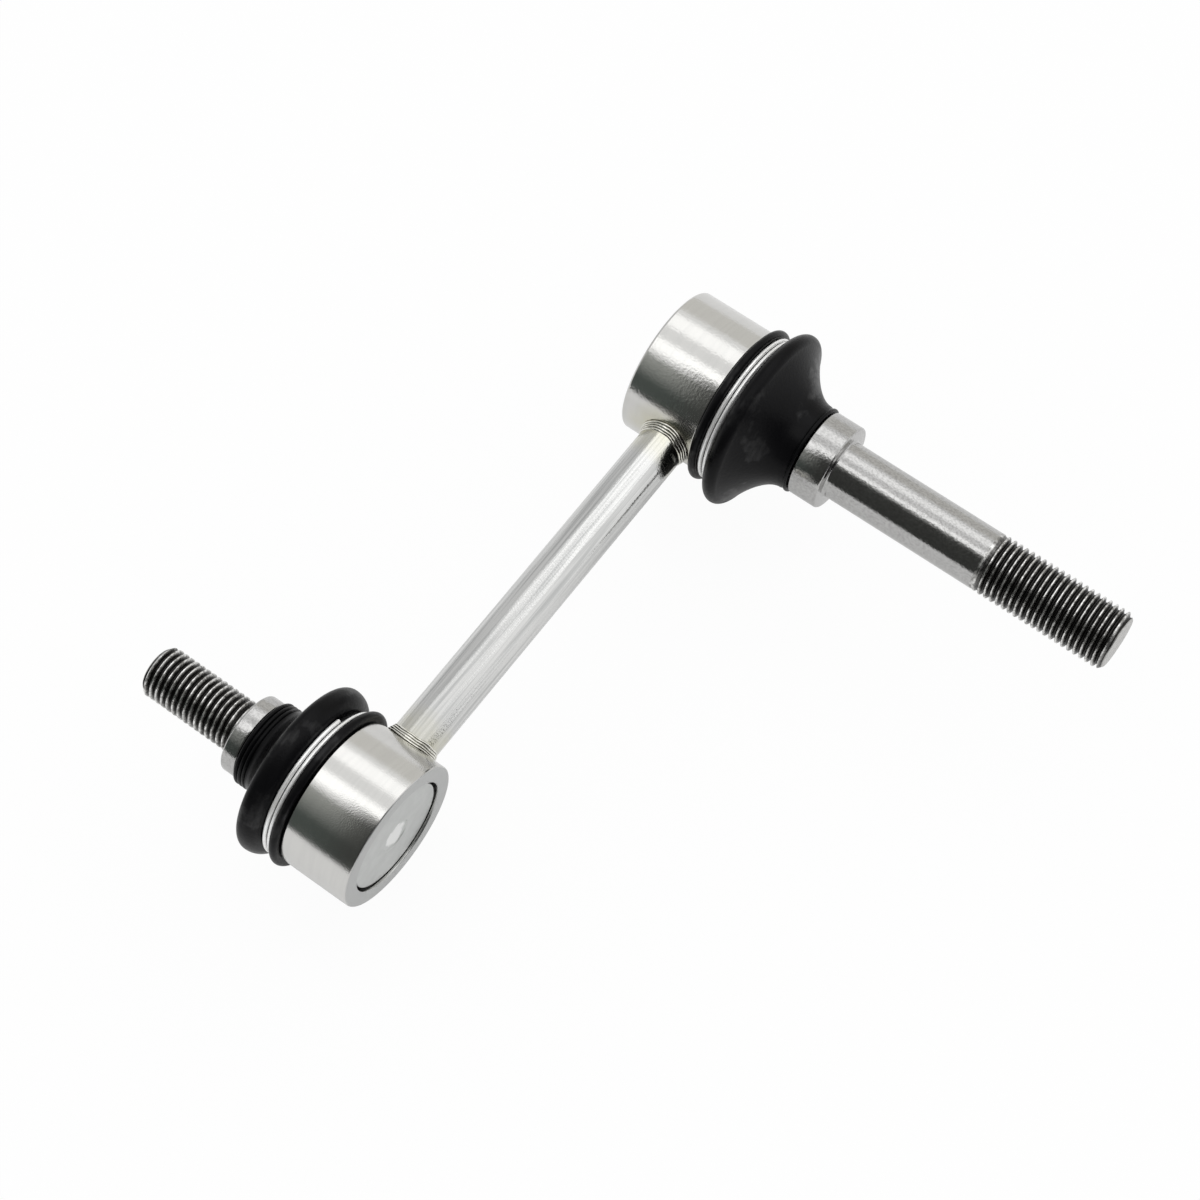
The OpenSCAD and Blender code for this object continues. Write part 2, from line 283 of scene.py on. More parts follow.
def finish_mesh(name, bm, sharp=32):
    """A smooth mesh object, creased where faces meet at more than the sharp angle."""
    bmesh.ops.remove_doubles(bm, verts=bm.verts, dist=1e-7)
    bmesh.ops.dissolve_degenerate(bm, edges=bm.edges, dist=1e-7)
    bmesh.ops.recalc_face_normals(bm, faces=bm.faces)
    mesh = bpy.data.meshes.new(name)
    bm.to_mesh(mesh)
    bm.free()
    mesh.shade_smooth()
    mesh.set_sharp_from_angle(angle=math.radians(sharp))
    piece = bpy.data.objects.new(name, mesh)
    bpy.context.scene.collection.objects.link(piece)
    return piece


def skin(bm, rings, loop=False):
    """Faces between neighbouring rings of vertices; a ring of one vertex is a pole."""
    pairs = list(zip(rings, rings[1:]))
    if loop:
        pairs.append((rings[-1], rings[0]))
    for low, high in pairs:
        count = max(len(low), len(high))
        for j in range(count):
            corners = [low[j % len(low)], low[(j + 1) % len(low)],
                       high[(j + 1) % len(high)], high[j % len(high)]]
            unique = list(dict.fromkeys(corners))
            if len(unique) > 2:
                bm.faces.new(unique)


def lathe(name, end, outline, segments=160, loop=False, sharp=32):
    """An outline of (r, a) points turned about the stud's axis."""
    bm = bmesh.new()
    rings = []
    for r, a in outline:
        count = segments if r > 1e-6 else 1
        rings.append([bm.verts.new(end.place(r, math.tau * j / count, a)) for j in range(count)])
    skin(bm, rings, loop)
    return finish_mesh(name, bm, sharp)


def tube(name, centres, radius, sides=16):
    """A closed tube along a path of points, its sections square to the path."""
    bm = bmesh.new()
    rings = []
    for i, (at, out) in enumerate(centres):
        ahead = centres[min(i + 1, len(centres) - 1)][0] - centres[max(i - 1, 0)][0]
        across = ahead.cross(out).normalized()
        turns = [math.tau * j / sides for j in range(sides)]
        rings.append([bm.verts.new(at + (out * math.cos(t) + across * math.sin(t)) * radius) for t in turns])
    skin(bm, rings)
    bm.faces.new(rings[0])
    bm.faces.new(rings[-1])
    return finish_mesh(name, bm, sharp=40)


# Materials, with the bump's depth, the rim's matt height and the heat's inner reach in millimetres

BUMP_DEPTH = 0.2
RIM_MATT = (0.12, 0.3)
HEAT_CORE = 5.0
HEAT_TINT = (0.60, 0.58, 0.44)
RIM_TINT = (0.51, 0.515, 0.51)
# Colour of the painted shade in grooves.
GROOVE_SHADE = (0.13, 0.125, 0.10)


def add(tree, kind, settings=None, **inputs):
    """A shader node, with its settings and inputs; an input that is a socket is linked.

    An input goes by its name, with _ for a space, or by its place as i0, i1 and so on.
    """
    made = tree.nodes.new(kind)
    for key, value in (settings or {}).items():
        setattr(made, key, value)
    for key, value in inputs.items():
        by_place = key[0] == "i" and key[1:].isdigit()
        socket = made.inputs[int(key[1:]) if by_place else key.replace("_", " ")]
        if isinstance(value, bpy.types.NodeSocket):
            tree.links.new(value, socket)
        else:
            socket.default_value = value
    return made


def new_material(name):
    """A node material, still empty, and its tree."""
    material = bpy.data.materials.new(name)
    material.use_nodes = True
    material.node_tree.nodes.clear()
    return material, material.node_tree


def surface(tree, shader):
    """Makes a shader the material's surface."""
    out = tree.nodes.new("ShaderNodeOutputMaterial")
    tree.links.new(shader, out.inputs["Surface"])


def noise_at(tree, vector, scale, detail=3.0, rough=0.55):
    """Noise from 0 to 1, its scale in repeats per unit of the vector."""
    made = add(tree, "ShaderNodeTexNoise", Vector=vector, Scale=scale, Detail=detail, Roughness=rough)
    return made.outputs["Fac"]


def spread(tree, value, low, high, to_low, to_high):
    """Maps a value from one range to another."""
    made = add(tree, "ShaderNodeMapRange", Value=value, i1=low, i2=high, i3=to_low, i4=to_high)
    return made.outputs["Result"]


def mixed(tree, factor, first, second):
    """A colour between two colours."""
    made = add(tree, "ShaderNodeMix", {"data_type": "RGBA"}, i0=factor)
    for index, value in ((6, first), (7, second)):
        if isinstance(value, bpy.types.NodeSocket):
            tree.links.new(value, made.inputs[index])
        else:
            made.inputs[index].default_value = (*value, 1)
    return made.outputs[2]


def product(tree, first, second):
    """Two values multiplied."""
    return add(tree, "ShaderNodeMath", {"operation": "MULTIPLY"}, i0=first, i1=second).outputs[0]


def stretched(tree, scale):
    """The object's own coordinates, stretched along its axes."""
    coords = add(tree, "ShaderNodeTexCoord").outputs["Object"]
    return add(tree, "ShaderNodeMapping", Vector=coords, Scale=scale).outputs["Vector"]


def nearness(tree, point, near, far):
    """1 within near of a point, falling to 0 at far, in millimetres."""
    coords = add(tree, "ShaderNodeTexCoord").outputs["Object"]
    away = add(tree, "ShaderNodeVectorMath", {"operation": "DISTANCE"}, i0=coords, i1=point)
    return spread(tree, away.outputs["Value"], near * MM, far * MM, 1.0, 0.0)


def bumped(tree, height, strength, under=None):
    """A surface normal roughened by a height, over another normal if one is given."""
    made = add(tree, "ShaderNodeBump", Strength=strength, Distance=BUMP_DEPTH * MM, Height=height)
    if under:
        tree.links.new(under, made.inputs["Normal"])
    return made.outputs["Normal"]


def along_stud(tree, end):
    """Distance from a stud's axis and height along it, both in metres."""
    coords = add(tree, "ShaderNodeTexCoord").outputs["Object"]
    moved = add(tree, "ShaderNodeVectorMath", {"operation": "SUBTRACT"}, i0=coords, i1=end.origin)
    offset = moved.outputs["Vector"]
    flat = add(tree, "ShaderNodeVectorMath", {"operation": "MULTIPLY"}, i0=offset, i1=(1, 0, 1))
    radius = add(tree, "ShaderNodeVectorMath", {"operation": "LENGTH"}, i0=flat.outputs["Vector"])
    height = add(tree, "ShaderNodeVectorMath", {"operation": "DOT_PRODUCT"}, i0=offset, i1=end.axis)
    return radius.outputs["Value"], height.outputs["Value"]


def plated_steel(
    name, light, dark, grain, rough, peel, heat_reach=0.0, rim_of=None, metal=1.0, groove=0.0
):
    """Bright plated steel.

    Grain is the scales and the strength of its streaks, which run along the axis where the scale is small.
    Peel is the scale and the strength of a fine unevenness. The plating yellows within heat_reach of the
    welds, the rolled rim of rim_of is matt, metal below 1 dulls the mirror, and grooves as narrow as groove
    are darkened with painted shade where ambient occlusion finds them closed.
    """
    material, tree = new_material(name)
    scale, streak_bump = grain
    peel_scale, peel_bump = peel
    even = stretched(tree, (1, 1, 1))
    streak = noise_at(tree, stretched(tree, scale), 1.0, 5.0, 0.6)
    cloud = noise_at(tree, even, 160.0, 3.0)
    fine = noise_at(tree, even, peel_scale, 3.0)
    colour = mixed(tree, spread(tree, streak, 0.36, 0.58, 0.0, 1.0), dark, light)
    if heat_reach:
        for point in WELD_POINTS:
            near = nearness(tree, point, HEAT_CORE, heat_reach)
            blotch = spread(tree, cloud, 0.35, 0.65, 0.2, 0.85)
            colour = mixed(tree, product(tree, near, blotch), colour, HEAT_TINT)
    if groove:
        # Painted shade: grooves and joints that ambient occlusion finds closed are painted dark brown.
        open_to_light = add(tree, "ShaderNodeAmbientOcclusion", {"samples": 8}, Distance=groove * MM).outputs["AO"]
        colour = mixed(tree, spread(tree, open_to_light, 0.45, 0.85, 0.0, 1.0), GROOVE_SHADE, colour)
    roughness = spread(tree, cloud, 0.3, 0.7, *rough)
    if rim_of:
        _, height = along_stud(tree, rim_of)
        low, high = ((rim_of.housing_back + rise) * MM for rise in RIM_MATT)
        rim = spread(tree, height, low, high, 1.0, 0.0)
        colour = mixed(tree, rim, colour, RIM_TINT)
        roughness = spread(tree, rim, 0.0, 1.0, roughness, 0.42)
    normal = bumped(tree, fine, peel_bump, bumped(tree, streak, streak_bump))
    shader = add(tree, "ShaderNodeBsdfPrincipled", Base_Color=colour, Metallic=metal,
                 Roughness=roughness, Normal=normal)
    surface(tree, shader.outputs["BSDF"])
    return material


def thread_steel(name, end):
    """Rolled thread, mottled, with a painted highlight on the crests, painted half shade on the flanks and
    near black painted shade in the roots.
    """
    material, tree = new_material(name)
    radius, height = along_stud(tree, end)

    def within(value, edge, far, near):
        """1 from near below an edge, falling to 0 at far below it, in millimetres."""
        return spread(tree, value, (edge - far) * MM, (edge - near) * MM, 0.0, 1.0)

    crest = within(radius, end.thread_r, 0.32, 0.06)
    flank = within(radius, end.thread_r, 0.75, 0.25)
    tip = within(height, end.tip_a, 0.3, 0.1)
    mottle = noise_at(tree, stretched(tree, (1, 1, 1)), 950.0, 4.0, 0.6)
    patchy = spread(tree, mottle, 0.38, 0.62, 0.0, 1.0)
    # Painted light by radius: a bright painted highlight on the crests, a grey painted half shade on the
    # flanks and a near black painted shade in the roots.
    crest_highlight = mixed(tree, patchy, (0.28, 0.275, 0.262), (0.92, 0.915, 0.90))
    grey = mixed(tree, patchy, (0.12, 0.118, 0.115), (0.46, 0.455, 0.44))
    rolled = mixed(tree, crest, mixed(tree, flank, (0.03, 0.029, 0.028), grey), crest_highlight)
    cut = mixed(tree, patchy, (0.47, 0.465, 0.45), (0.56, 0.555, 0.54))
    colour = mixed(tree, tip, rolled, cut)
    roughness = spread(tree, crest, 0.0, 1.0, 0.40, 0.24)
    shader = add(tree, "ShaderNodeBsdfPrincipled", Base_Color=colour, Metallic=1.0, Roughness=roughness,
                 Normal=bumped(tree, mottle, 0.42))
    surface(tree, shader.outputs["BSDF"])
    return material


def cap_steel(name, end):
    """Matt zinc plate, burnished in an uneven round mark at its dimple, with painted shade in the gap by the
    rim.
    """
    material, tree = new_material(name)
    even = stretched(tree, (1, 1, 1))
    cloud = noise_at(tree, even, 380.0, 4.0)
    grain = noise_at(tree, even, 3000.0, 2.0)
    radius, _ = along_stud(tree, end)
    wobble = 4.0 * MM
    edge = add(tree, "ShaderNodeMath", {"operation": "MULTIPLY_ADD"}, i0=cloud, i1=wobble, i2=radius)
    mark = spread(tree, edge.outputs[0], 4.7 * MM, 5.4 * MM, 1.0, 0.0)
    plate = mixed(tree, spread(tree, cloud, 0.3, 0.7, 0.0, 1.0), (0.58, 0.59, 0.58), (0.63, 0.64, 0.63))
    burnished = mixed(tree, mark, plate, (0.86, 0.865, 0.855))
    # Painted shade: the gap between the cap's dropped edge and the rim is painted near black.
    gap = spread(tree, radius, (RIM_R - CAP_STEP_IN - 0.02) * MM, (RIM_R - CAP_STEP_OUT) * MM, 0.0, 1.0)
    colour = mixed(tree, gap, burnished, (0.02, 0.02, 0.02))
    roughness = spread(tree, mark, 0.0, 1.0, 0.5, 0.36)
    shader = add(tree, "ShaderNodeBsdfPrincipled", Base_Color=colour, Metallic=1.0, Roughness=roughness,
                 Normal=bumped(tree, grain, 0.10))
    surface(tree, shader.outputs["BSDF"])
    return material


def boot_rubber(name):
    """Satin black rubber: a moulded grain breaks up its sheen, and smears run round it from the mould."""
    material, tree = new_material(name)
    even = stretched(tree, (1, 1, 1))
    bloom = noise_at(tree, even, 90.0, 4.0)
    grain = noise_at(tree, even, 1500.0, 4.0, 0.6)
    streak = noise_at(tree, stretched(tree, (200, 900, 200)), 1.0, 4.0, 0.65)
    patch = spread(tree, bloom, 0.50, 0.62, 0.0, 1.0)
    smear = product(tree, streak, patch)
    dusty = spread(tree, bloom, 0.35, 0.7, 0.0, 1.0)
    colour = mixed(tree, dusty, (0.0020, 0.0020, 0.0024), (0.0040, 0.0040, 0.0047))
    roughness = spread(tree, bloom, 0.3, 0.7, 0.26, 0.36)
    sheen = spread(tree, smear, 0.30, 0.66, 0.10, 0.34)
    shader = add(tree, "ShaderNodeBsdfPrincipled", Base_Color=colour, Roughness=roughness,
                 Specular_IOR_Level=sheen, Normal=bumped(tree, grain, 0.26))
    surface(tree, shader.outputs["BSDF"])
    return material


def seat_resin(name):
    """Natural acetal resin."""
    material, tree = new_material(name)
    cloud = noise_at(tree, stretched(tree, (1, 1, 1)), 300.0, 2.0)
    colour = mixed(tree, cloud, (0.82, 0.80, 0.74), (0.88, 0.87, 0.82))
    shader = add(tree, "ShaderNodeBsdfPrincipled", Base_Color=colour, Roughness=0.45)
    surface(tree, shader.outputs["BSDF"])
    return material


HOUSING_STEEL = {
    end.name: plated_steel(
        f"{end.name}_housing_steel", light=(0.65, 0.645, 0.627), dark=(0.625, 0.621, 0.605),
        grain=((60, 900, 60), 0.008), rough=(0.11, 0.16), peel=end.peel, heat_reach=11.0, rim_of=end)
    for end in ENDS
}
ROD_STEEL = plated_steel(
    "rod_steel", light=(0.70, 0.70, 0.69), dark=(0.50, 0.505, 0.50),
    grain=((30, 1500, 1500), 0.08), rough=(0.09, 0.14), peel=(2400.0, 0.12), heat_reach=10.0)
WELD_STEEL = plated_steel(
    "weld_steel", light=(0.84, 0.83, 0.77), dark=(0.62, 0.61, 0.54),
    grain=((500, 500, 500), 0.08), rough=(0.12, 0.20), peel=(1600.0, 0.10), groove=0.45)
STUD_STEEL = plated_steel(
    "stud_steel", light=(0.51, 0.507, 0.500), dark=(0.39, 0.387, 0.381),
    grain=((2200, 1500, 2200), 0.05), rough=(0.09, 0.14), peel=(1900.0, 0.17))
CLIP_STEEL = plated_steel(
    "clip_steel", light=(0.95, 0.95, 0.94), dark=(0.90, 0.90, 0.89),
    grain=((600, 600, 600), 0.02), rough=(0.26, 0.34), peel=(1500.0, 0.03), metal=0.6)
BOOT_RUBBER = boot_rubber("boot_rubber")
SEAT_RESIN = seat_resin("seat_resin")


def dress(piece, material, body=None, replaces=None):
    """Gives a piece its finish, and ties it to the body and the node it stands for."""
    piece.data.materials.clear()
    piece.data.materials.append(material)
    if body:
        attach(piece, body)
    if replaces:
        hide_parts(replaces)


# Pieces

def make_housing(end):
    """Turned cup with the rim rolled over its cap, a nose under the boot and a flared mouth."""
    outline = rounded([
        (RIM_R, end.cap_back), (RIM_R, end.housing_back, RIM_LIP_ROUND),
        (HOUSING_R, end.housing_back, RIM_ROUND), (HOUSING_R, SHOULDER, SHOULDER_ROUND),
        (NOSE_R, SHOULDER), (NOSE_R, NOSE_END, NOSE_ROUND), (MOUTH_R, NOSE_END, MOUTH_ROUND),
        (MOUTH_BASE_R, SEAT_TOP), (BORE_R, SEAT_TOP), (BORE_R, end.seat_bottom),
        (CAP_R, end.seat_bottom), (CAP_R, end.cap_back),
    ])
    piece = lathe(f"{end.name}_housing", end, outline, 192, loop=True)
    dress(piece, HOUSING_STEEL[end.name], "link", end.node("housing"))


def make_cap(end):
    """Pressed disc, dropped a little at its edge, with a shallow dimple."""
    back = end.cap_back
    edge = back + CAP_STEP_H
    outline = rounded([
        (0, back + DIMPLE_H), (DIMPLE_R - DIMPLE_SLOPE, back + DIMPLE_H, DIMPLE_SLOPE),
        (DIMPLE_R, back, DIMPLE_SLOPE), (RIM_R - CAP_STEP_IN, back, CAP_STEP_ROUND),
        (RIM_R - CAP_STEP_OUT, edge), (CAP_R, edge),
        (CAP_R, end.seat_bottom), (0, end.seat_bottom),
    ])
    piece = lathe(f"{end.name}_cap", end, outline, 128)
    dress(piece, cap_steel(f"{end.name}_cap_steel", end), "link", end.node("cap"))


def saddle(across):
    """How far the housing's side lies from its axis, at a distance across the rod."""
    return math.sqrt(HOUSING_R**2 - across**2)


def make_rod():
    """Round bar whose ends follow the housings' curve."""
    segments = 128
    steps = 60
    bm = bmesh.new()
    rings = []
    for k in range(steps + 1):
        ring = []
        for j in range(segments):
            turn = math.tau * j / segments
            across = ROD_R * math.sin(turn)
            first = SHORT.origin.x / MM + saddle(across)
            last = LONG.origin.x / MM - saddle(across)
            x = first + (last - first) * k / steps
            y = SHORT.origin.y / MM + ROD_R * math.cos(turn)
            ring.append(bm.verts.new(Vector((x, y, across)) * MM))
        rings.append(ring)
    skin(bm, rings)
    bm.faces.new(rings[0])
    bm.faces.new(rings[-1])
    piece = finish_mesh("rod", bm)
    dress(piece, ROD_STEEL, "link", "link_rod")


def make_weld(end):
    """Rippled weld ring, uneven and lower towards the rod, that follows the housing's curve."""
    segments = 200
    ripple = WELD_LEN / WELD_RIPPLES
    root = ROD_R - WELD_SINK
    outline = [Vector((root, -WELD_OVERLAP)), Vector((ROD_R + WELD_H, -WELD_OVERLAP))]
    for i in range(WELD_RIPPLES):
        height = ROD_R + WELD_H * (1 - WELD_FALL * (i + 0.5) / WELD_RIPPLES) - ripple / 2
        outline += arc((height, (i + 0.5) * ripple), ripple / 2, -80, 80, 14)
    outline.append(Vector((root, WELD_LEN)))
    bm = bmesh.new()
    rings = []
    for r, x in outline:
        ring = []
        for j in range(segments):
            turn = math.tau * j / segments
            around = Vector((math.cos(turn), math.sin(turn), 0))
            drift = noise.noise(around * 2.6 + Z_AXIS * x * 0.6) * WELD_DRIFT
            uneven = noise.noise(around * 7.0 + Z_AXIS * x * 2.0) * WELD_UNEVEN
            out = r + (uneven if r > ROD_R else 0)
            across = out * math.sin(turn)
            reach = saddle(across) + x + (drift if x > 0 else 0)
            place = Vector((end.rod_side * reach, out * math.cos(turn), across)) * MM
            ring.append(bm.verts.new(end.origin + place))
        rings.append(ring)
    skin(bm, rings, loop=True)
    piece = finish_mesh(f"{end.name}_weld", bm, sharp=50)
    dress(piece, WELD_STEEL, "link", end.node("weld"))


def make_clip(end):
    """Spring wire of two turns: it lies beside the bead, then crosses to its second turn."""
    sweep = math.radians(CLIP_SWEEP)
    cross_from, cross_to = (math.radians(angle) for angle in CLIP_CROSSING)
    steps = 420
    turn_r = GROOVE_R + CLIP_GAP + WIRE_R
    path = []
    for k in range(steps + 1):
        t = sweep * k / steps
        u = min(1.0, max(0.0, (t - cross_from) / (cross_to - cross_from)))
        a = BEAD_END + WIRE_PITCH / 2 + WIRE_PITCH * u * u * (3 - 2 * u)
        around = math.radians(end.clip_end) - sweep + t
        out = (X_AXIS * math.cos(around) + end.side * math.sin(around)).normalized()
        path.append((end.place(turn_r, around, a), out))
    piece = tube(f"{end.name}_clip", path, WIRE_R * MM)
    dress(piece, CLIP_STEEL, "link", end.node("clip"))


def make_boot(end):
    """Rubber boot in two halves, which meet at a seam on its flank."""
    bead_r = GROOVE_R + BEAD_H
    bead_w = BEAD_END - BEAD_START
    crest_r = GROOVE_R + end.bulge_h
    crest = GROOVE_END + end.crest_rise
    rib_start = end.boot_h - end.ribs * RIB_W
    neck_start = rib_start - end.neck_plain
    neck_wall = end.neck_r - BOOT_NECK_IN_R
    crest_centre = Vector((crest_r - CREST_ROUND, crest))
    turn = math.radians(CREST_TURN)
    flank_from = crest_centre + CREST_ROUND * Vector((math.cos(turn), math.sin(turn)))
    flank_way = Vector((-math.sin(turn), math.cos(turn)))
    flank = neck_start - flank_from.y

    rise_run = curve([
        (GROOVE_R, GROOVE_END), (GROOVE_R + RISE_HOLD[0] * end.bulge_h, GROOVE_END),
        (crest_r, crest - RISE_HOLD[1] * end.crest_rise), (crest_r, crest),
    ], 24)
    flank_run = curve([
        flank_from, flank_from + FLANK_HOLD[0] * flank * flank_way,
        (end.neck_r, neck_start - FLANK_HOLD[1] * flank), (end.neck_r, neck_start),
    ], 40)
    rise_out = [at for at, ahead in rise_run]
    rise_in = inside(rise_run, BOOT_WALL, BOOT_WALL)
    crest_out = arc(crest_centre, CREST_ROUND, 0, CREST_TURN, 14)
    crest_in = arc(crest_centre, CREST_ROUND - BOOT_WALL, 0, CREST_TURN, 14)
    flank_out = [at for at, ahead in flank_run]
    flank_in = inside(flank_run, BOOT_WALL, neck_wall)
    seam_a = GROOVE_END + SEAM_SHARE * (neck_start - GROOVE_END)
    seam = max(SEAM_MIN, next(k for k, at in enumerate(flank_out) if at.y > seam_a))

    bead = arc((bead_r - bead_w / 2, BEAD_START + bead_w / 2), bead_w / 2, -90, 90, 12)
    lower = [
        Vector((BOOT_IN_R, BEAD_START)), *bead, Vector((GROOVE_R, BEAD_END)),
        *rise_out, *crest_out[1:], *flank_out[1:seam + 1],
        *reversed(flank_in[:seam + 1]), *reversed(crest_in[:-1]), *reversed(rise_in[:-1]),
        Vector((BOOT_IN_R, GROOVE_END + BOOT_WALL)),
    ]
    ribs = []
    for i in range(end.ribs):
        centre = (end.neck_r + RIB_H - RIB_W / 2, rib_start + (i + 0.5) * RIB_W)
        ribs += arc(centre, RIB_W / 2, -80, 80, 10)
    ring_start, ring_end = (end.boot_h - gap for gap in RING_ROOM)
    bore = [(BOOT_NECK_IN_R, end.boot_h), (BOOT_NECK_IN_R, ring_end), (RING_ROOM_R, ring_end),
            (RING_ROOM_R, ring_start), (BOOT_NECK_IN_R, ring_start)]
    upper = [*flank_out[seam:], *ribs, *(Vector(point) for point in bore), *reversed(flank_in[seam:])]

    lower_piece = lathe(f"{end.name}_boot_bulge", end, lower, 160, loop=True, sharp=40)
    upper_piece = lathe(f"{end.name}_boot_neck", end, upper, 160, loop=True, sharp=40)
    seam_heights = (flank_in[seam].y, flank_out[seam].y)
    for piece, first, last, low, high in (
        (lower_piece, "link", end.rocker, BEND_START, min(seam_heights)),
        (upper_piece, end.rocker, end.swinger, max(seam_heights), end.bend_end),
    ):
        dress(piece, BOOT_RUBBER)
        end.place(0, 0, low)
        end.place(0, 0, high)
        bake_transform(piece)
        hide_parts(end.node("boot"))


def thread_radius(end, phase):
    """Outline of a rolled thread over one pitch: a rounded crest at phase 0 and a rounded root at half."""
    depth = THREAD_DEPTH * PITCH
    off_crest = abs((phase + 0.5) % 1.0 - 0.5)
    fall = min(1.0, max(0.0, (off_crest - CREST_HALF) / FLANK_WIDTH))
    eased = fall * fall * (3 - 2 * fall)
    return end.thread_r - depth * ((1 - ROOT_EASE) * fall + ROOT_EASE * eased)


def make_thread(end):
    """Threaded length of a stud, with a run-out by the shank and a chamfered tip."""
    columns = 96
    per_pitch = 14
    run_out = THREAD_RUN_OUT * PITCH
    length = end.tip_a - end.thread_a
    rows = math.ceil(length / PITCH + 1) * per_pitch
    bm = bmesh.new()
    grid = []
    for i in range(rows + 1):
        ring = []
        phase = (i % per_pitch) / per_pitch
        for j in range(columns):
            a = end.thread_a + PITCH * (i / per_pitch + j / columns - 1)
            a = min(end.tip_a, max(end.thread_a, a))
            grown = min(1.0, (a - end.thread_a) / run_out)
            r = end.shank_r + (thread_radius(end, phase) - end.shank_r) * grown
            r = min(r, end.thread_r - TIP_CHAMFER + (end.tip_a - a))
            ring.append(bm.verts.new(end.place(r, math.tau * j / columns, a)))
        grid.append(ring)
    for i in range(rows):
        for j in range(columns):
            wraps = j == columns - 1
            shift = per_pitch if wraps else 0
            if i + 1 + shift <= rows:
                here = (grid[i][j], grid[i + 1][j])
                ahead = (j + 1) % columns
                bm.faces.new([here[0], grid[i + shift][ahead], grid[i + 1 + shift][ahead], here[1]])
    bmesh.ops.remove_doubles(bm, verts=bm.verts, dist=1e-7)
    rims = [e for e in bm.edges if e.is_boundary]
    bmesh.ops.holes_fill(bm, edges=rims, sides=0)
    piece = finish_mesh(f"{end.name}_thread", bm, sharp=35)
    dress(piece, thread_steel(f"{end.name}_thread_steel", end), end.stud, end.node("stud"))


def make_stud(end):
    """Ball, neck, boot seat, collar and plain shank of a stud, up to its thread."""
    face = end.collar_a + end.collar_len
    shank_end = max(end.thread_a, face + SHANK_MIN)
    ball_base = BALL_R - BALL_FLAT
    start = math.degrees(math.asin(-ball_base / BALL_R))
    stop = math.degrees(math.acos(NECK_R / BALL_R))
    outline = [Vector((0, BALL_SHIFT - ball_base)), *arc((0, BALL_SHIFT), BALL_R, start, stop, 40)]
    outline += rounded([
        (NECK_R, NECK_END - NECK_RUN), (NECK_R, NECK_END, NECK_FILLET),
        (BOOT_SEAT_R, NECK_END + BOOT_SEAT_R - NECK_R, BOOT_SEAT_ROUND),
        (BOOT_SEAT_R, end.collar_a), (end.collar_r, end.collar_a, COLLAR_ROUND),
        (end.collar_r, face, COLLAR_ROUND), (end.shank_r, face, ROOT_FILLET),
        (end.shank_r, shank_end), (0, shank_end),
    ])
    piece = lathe(f"{end.name}_stud_body", end, outline, 160)
    dress(piece, STUD_STEEL, end.stud, end.node("stud"))


def paint_solids(end):
    """Gives the hidden solids that stay from the CAD model their finish."""
    for part, material in (("seat", SEAT_RESIN), ("neck_ring", CLIP_STEEL)):
        solid = frame["nodes"][end.node(part)]
        solid.data.materials.clear()
        solid.data.materials.append(material)


make_rod()
for each_end in ENDS:
    make_housing(each_end)
    make_cap(each_end)
    make_weld(each_end)
    make_clip(each_end)
    make_boot(each_end)
    make_stud(each_end)
    make_thread(each_end)
    paint_solids(each_end)


# Stage

# The floor lies below the reach of the long stud's tip at full tilt, by TIP_ROOM, both in millimetres
TILT = math.radians(max(JOINTS["long_end_rock"]["range_deg"]))
TIP_REACH = (LONG.tip_a - BALL_SHIFT) * math.sin(TILT) + LONG.thread_r * math.cos(TILT)
TIP_ROOM = 1.0
FLOOR_Z = LONG.origin.z - (TIP_REACH + TIP_ROOM) * MM
FLOOR_SEEN = 0.94
FLOOR_MIRRORED = 0.15
CONTACT_SHADE_REACH = 0.03
STAGE_SIZE = 3.0
MIDDLE = (LONG.origin + SHORT.origin) / 2
CARD_R = 0.9
STUD_CARD_R = 0.88
STUD_CARD_FADE = (0.14, 0.26)
GROUND_CARD_LIFT = 0.0005
LAMP_DISTANCE = 0.9
LAMP_LENGTH = 1.1


def seen_share(tree, camera, glossy):
    """A share for the rays that show the background: from the camera, through glass and off gloss."""
    path = add(tree, "ShaderNodeLightPath").outputs
    shares = {"Is Camera Ray": camera, "Is Transmission Ray": camera, "Is Glossy Ray": glossy}
    total = 0.0
    for name, share in shares.items():
        step = add(tree, "ShaderNodeMath", {"operation": "MULTIPLY_ADD", "use_clamp": True},
                   i0=path[name], i1=share, i2=total)
        total = step.outputs[0]
    return total


def make_floor():
    """White floor that glows to the camera and still takes part of the link's shadow, deepened near the link
    by painted shade from ambient occlusion.
    """
    mesh = bpy.data.meshes.new("floor")
    half = STAGE_SIZE / 2
    corners = [(-half, -half), (half, -half), (half, half), (-half, half)]
    mesh.from_pydata([(MIDDLE.x + x, MIDDLE.y + y, FLOOR_Z) for x, y in corners], [], [(0, 1, 2, 3)])
    floor = bpy.data.objects.new("floor", mesh)
    bpy.context.scene.collection.objects.link(floor)
    material, tree = new_material("floor_white")
    # Painted shadow: ambient occlusion darkens the floor's paint near the link, beyond the shadow the lamps
    # cast.
    near = add(tree, "ShaderNodeAmbientOcclusion", {"samples": 2}, Color=(0.8, 0.8, 0.8, 1),
               Distance=CONTACT_SHADE_REACH)
    paint = add(tree, "ShaderNodeBsdfDiffuse", Color=near.outputs["Color"]).outputs["BSDF"]
    glow = add(tree, "ShaderNodeEmission", Color=(1, 1, 1, 1), Strength=1.0).outputs["Emission"]
    share = seen_share(tree, FLOOR_SEEN, FLOOR_MIRRORED)
    surface(tree, add(tree, "ShaderNodeMixShader", i0=share, i1=paint, i2=glow).outputs["Shader"])
    mesh.materials.append(material)


